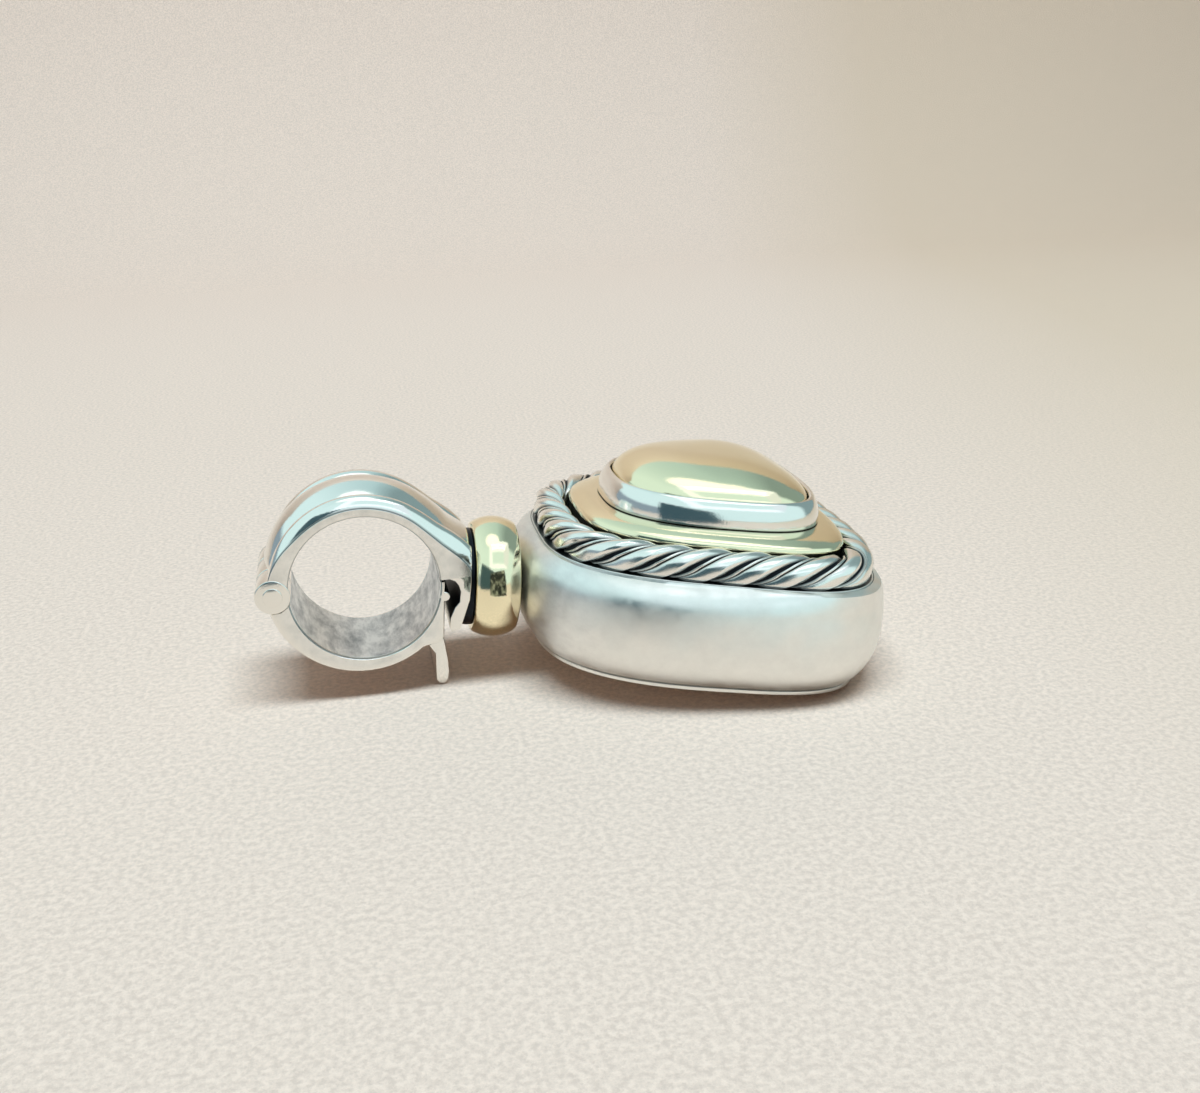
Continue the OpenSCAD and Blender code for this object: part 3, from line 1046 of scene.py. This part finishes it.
def light_material(name, colour, strength, fleck=None):
    """A card that glows, with flecks of a second colour if one is given."""
    mat, tree = new_material(name)
    tone = rgba(colour)
    if fleck:
        place = add_node(tree, "ShaderNodeTexCoord").outputs["Object"]
        crumple = add_node(
            tree, "ShaderNodeTexNoise", Vector=place, Scale=per_metre(0.9), Detail=4.0,
            Roughness=0.7,
        )
        share = add_node(
            tree, "ShaderNodeMapRange", Value=crumple.outputs["Fac"], i1=0.5, i2=0.62
        ).outputs[0]
        tone = add_node(
            tree, "ShaderNodeMix", data_type="RGBA", i0=share, i6=tone, i7=rgba(fleck)
        ).outputs[2]
    glow = add_node(tree, "ShaderNodeEmission", Color=tone, Strength=strength)
    add_node(tree, "ShaderNodeOutputMaterial", Surface=glow.outputs[0])
    return mat


def card(name, corners, material):
    """A flat card that only shows in reflections, its corners in millimetres."""
    mesh = bpy.data.meshes.new(name)
    bm = bmesh.new()
    bm.faces.new([bm.verts.new(Vector(c) * MM) for c in corners])
    bm.to_mesh(mesh)
    bm.free()
    mesh.materials.append(material)
    o = bpy.data.objects.new(name, mesh)
    bpy.context.scene.collection.objects.link(o)
    o.visible_camera = False
    o.visible_diffuse = False
    o.visible_shadow = False


class PENDANT_OT_stage(bpy.types.Operator):
    """Pale sweep, tent light and the camera"""

    bl_idname = "pendant.stage"
    bl_label = "Stage"

    def execute(self, context):
        look = context.scene.stage_look
        self.sweep(look)
        self.tent(look)
        self.cards(look)
        self.camera(context)
        context.scene.view_settings.view_transform = "Standard"
        return {"FINISHED"}

    def sweep(self, look):
        """A floor that rolls up into its own background."""
        width = 760
        run = [(y, 0.0) for y in (-600, -400, -250, -150, -80, 0, 80, 200)]
        run += [(200 + a, 100 + b) for a, b in arc((0, 0), 100, -90, 0, 24)[1:]]
        run += [(300, 180), (300, 250)]
        bm = bmesh.new()
        made = bmesh.ops.create_grid(bm, x_segments=1, y_segments=len(run) - 1, size=0.5)["verts"]
        for v in made:
            y, z = run[round((v.co.y + 0.5) * (len(run) - 1))]
            v.co = Vector((v.co.x * width, y, z)) * MM
        mesh = bpy.data.meshes.new("sweep")
        bm.to_mesh(mesh)
        bm.free()
        mesh.shade_smooth()
        # Matt card: pale and without gloss. Its grain is drawn coarse enough to show.
        mat, tree = new_material("matt card with a fine grain")
        place = add_node(tree, "ShaderNodeTexCoord").outputs["Object"]
        speck, painted_shade = linear("#DAC0B1"), linear("#DDC1AB")
        grain = add_node(
            tree, "ShaderNodeTexNoise", Vector=place, Scale=per_metre(0.35), Detail=4.0,
            Roughness=0.65,
        )
        tone = add_node(
            tree, "ShaderNodeMix", data_type="RGBA", i6=rgba(look.floor), i7=rgba(speck),
            i0=add_node(
                tree, "ShaderNodeMapRange", Value=grain.outputs["Fac"], i1=0.38, i2=0.62
            ).outputs[0],
        )
        # Painted shade: the card turns darker and browner away to the right
        side = add_node(
            tree, "ShaderNodeVectorMath", operation="DOT_PRODUCT", i0=place, i1=(1.0, -0.22, 0.0)
        ).outputs["Value"]
        tone = add_node(
            tree, "ShaderNodeMix", data_type="RGBA", i6=tone.outputs[2], i7=rgba(painted_shade),
            i0=add_node(tree, "ShaderNodeMapRange", Value=side, i1=0.03, i2=0.08).outputs[0],
        )
        bump = add_node(
            tree, "ShaderNodeBump", Strength=0.9, Distance=0.12 * MM, Height=grain.outputs["Fac"]
        )
        shader = add_node(
            tree, "ShaderNodeBsdfPrincipled", Base_Color=tone.outputs[2], Roughness=0.6,
            Normal=bump.outputs[0],
        )
        add_node(tree, "ShaderNodeOutputMaterial", Surface=shader.outputs[0])
        mesh.materials.append(mat)
        floor = bpy.data.objects.new("sweep", mesh)
        bpy.context.scene.collection.objects.link(floor)

    def tent(self, look):
        """Soft light from a tent: a cool roof, a bright front and the dark room under it."""
        world = bpy.data.worlds.new("light tent")
        bpy.context.scene.world = world
        world.use_nodes = True
        tree = world.node_tree
        tree.nodes.clear()
        way = add_node(tree, "ShaderNodeTexCoord").outputs["Generated"]
        parts = add_node(tree, "ShaderNodeSeparateXYZ", Vector=way).outputs
        # The front is where y is negative, towards the camera, and the left where x is
        to_front = add_node(
            tree, "ShaderNodeMapRange", Value=parts[1], i1=-0.12, i2=-0.3
        ).outputs[0]
        to_left, to_right, across, below, zenith = (
            add_node(tree, "ShaderNodeMapRange", Value=parts[axis], i1=low, i2=high).outputs[0]
            for axis, low, high in (
                (0, -0.35, -0.6), (0, 0.24, 0.5), (0, 0.3, -0.5), (2, 0.34, 0.26), (2, 0.955, 0.975)
            )
        )
        lit = add_node(
            tree, "ShaderNodeMix", data_type="RGBA", i0=across, i6=rgba(look.roof),
            i7=rgba(look.front),
        ).outputs[2]
        roof = add_node(
            tree, "ShaderNodeMix", data_type="RGBA", i0=to_right, i6=lit,
            i7=rgba(linear("#86A0A4")),
        ).outputs[2]
        low_left = add_node(
            tree, "ShaderNodeMath", operation="MULTIPLY", i0=to_left, i1=below
        ).outputs[0]
        sides = add_node(
            tree, "ShaderNodeMix", data_type="RGBA", i0=to_front, i6=roof, i7=rgba(look.front),
        ).outputs[2]
        walls = add_node(
            tree, "ShaderNodeMix", data_type="RGBA", i0=low_left, i6=sides, i7=rgba(look.low_side)
        ).outputs[2]
        tone = add_node(
            tree, "ShaderNodeMix", data_type="RGBA", i0=zenith, i6=walls, i7=(1.35, 1.45, 1.45, 1)
        ).outputs[2]
        # The tent is seen in the metal; the card is lit by the roof lamp and a warm low fill
        matt = add_node(tree, "ShaderNodeLightPath").outputs["Is Diffuse Ray"]
        seen = add_node(
            tree, "ShaderNodeMix", data_type="RGBA", i0=matt, i6=tone, i7=(0.105, 0.065, 0.038, 1)
        ).outputs[2]
        back = add_node(tree, "ShaderNodeBackground", Color=seen, Strength=1.0)
        add_node(tree, "ShaderNodeOutputWorld", Surface=back.outputs[0])

        self.soft_lamp(
            "roof lamp", look.key_power, (0.45, 0.17), (0.66, 0.89, 1.0), (0.0, -0.09, 0.58), 9
        )
        # A weak one turned to the background
        self.soft_lamp(
            "background lamp", 0.16, (0.3, 0.3), (0.57, 0.82, 1.0), (-0.03, 0.12, 0.3), 80
        )

    def soft_lamp(self, name, power, size, colour, place, turn):
        """An area lamp that lights the card and isn't mirrored."""
        lamp = bpy.data.lights.new(name, "AREA")
        lamp.shape = "RECTANGLE"
        lamp.size, lamp.size_y = size
        lamp.energy, lamp.color = power, colour
        o = bpy.data.objects.new(name, lamp)
        o.location = place
        o.rotation_euler = (math.radians(turn), 0, 0)
        bpy.context.scene.collection.objects.link(o)
        o.visible_camera = False
        o.visible_glossy = False

    def cards(self, look):
        """What the metal mirrors: the dark camera side, the frame lamp and rows of small lamps."""
        dark = light_material("camera side", linear("#405A64"), 1.0)
        card("camera_card", [(-56, -48, 0), (-5, -80, 0), (-8, -78, 42), (-58, -46, 62)], dark)
        # A dark card that only the bead mirrors: a painted reflection of the dark camera side,
        # mottled by pale flecks
        flag = light_material("dark flag", linear("#2C312E"), 1.0, linear("#9DA79A"))
        card("bead_flag", [(-6.5, -7, 5), (-2.8, -7, 4.6), (-2.6, -7, 9.4), (-6.4, -7, 9)], flag)
        outer = [(-18, -12, 108), (70, 0, 108), (122, -175, 108), (-62, -148, 108)]
        inner = [(-15, -49, 108), (45, -49, 108), (62, -120, 108), (-26, -112, 108)]
        powers = {"back": 1.2, "right": 0.9, "front": 1.2, "left": 1.2}
        for i, (side, power) in enumerate(powers.items()):
            bright = light_material(f"frame lamp, {side}", (0.9, 1.05, 1.15), power)
            j = (i + 1) % 4
            card(f"frame_lamp_{side}", [outer[i], outer[j], inner[j], inner[i]], bright)
        # Rows of small lamps along the back of the frame
        spot = light_material("small lamps", (1.0, 1.0, 1.0), 6.0)
        long, deep, level = 2.4, 3, 107
        for row in range(2):
            for i in range(10):
                x, y = -12 + 6.5 * i, -22 - 12 * row
                corners = [(x, y), (x + long, y), (x + long, y + deep), (x, y + deep)]
                card(f"small_lamp_{row}_{i}", [(*c, level) for c in corners], spot)

    def camera(self, context):
        """A phone's view, close to the jewel and a little above it.

        Its place in millimetres and its turn were fitted to both rims of the bore and to the
        outlines of the pendant.
        """
        eye = bpy.data.cameras.new("camera")
        eye.lens, eye.sensor_width = 37.5, 36.0
        eye.shift_x, eye.shift_y = 0.0154, 0.0272
        eye.clip_start = 0.001
        o = bpy.data.objects.new("camera", eye)
        right = Vector((0.97905, -0.20095, -0.03299))
        up = Vector((0.10123, 0.33971, 0.93507))
        back = -Vector((0.17671, 0.91881, -0.35294))
        turn = Matrix((right, up, back)).transposed().to_4x4()
        o.matrix_world = Matrix.Translation(Vector((-13.23, -74.571, 33.665)) * MM) @ turn
        context.scene.collection.objects.link(o)
        context.scene.camera = o


class PENDANT_PT_panel(bpy.types.Panel):
    """Lists the pieces in the sidebar"""

    bl_label = "Pendant enhancer"
    bl_idname = "PENDANT_PT_panel"
    bl_space_type = "VIEW_3D"
    bl_region_type = "UI"
    bl_category = "Pendant enhancer"

    def draw(self, context):
        for group in ("bail_sizes", "pendant_sizes", "metal_colours", "stage_look"):
            box = self.layout.box()
            settings = getattr(context.scene, group)
            for name in settings.bl_rna.properties.keys():
                if name not in ("rna_type", "name"):
                    box.prop(settings, name)
        for step in STEPS:
            self.layout.operator(step.bl_idname)


GROUPS = {
    "bail_sizes": BailSizes,
    "pendant_sizes": PendantSizes,
    "metal_colours": MetalColours,
    "stage_look": StageLook,
}
STEPS = (
    PENDANT_OT_stage,
    PENDANT_OT_case,
    PENDANT_OT_rope,
    PENDANT_OT_gold_top,
    PENDANT_OT_collar,
    PENDANT_OT_bead,
    PENDANT_OT_arch,
    PENDANT_OT_gate,
    PENDANT_OT_rivet,
)


def register():
    for group, kind in GROUPS.items():
        bpy.utils.register_class(kind)
        setattr(bpy.types.Scene, group, bpy.props.PointerProperty(type=kind))
    for kind in (*STEPS, PENDANT_PT_panel):
        bpy.utils.register_class(kind)


def unregister():
    for kind in (PENDANT_PT_panel, *reversed(STEPS)):
        bpy.utils.unregister_class(kind)
    for group, kind in GROUPS.items():
        delattr(bpy.types.Scene, group)
        bpy.utils.unregister_class(kind)


def main():
    register()
    for step in STEPS:
        family, name = step.bl_idname.split(".")
        getattr(getattr(bpy.ops, family), name)()


if __name__ == "__main__":
    main()
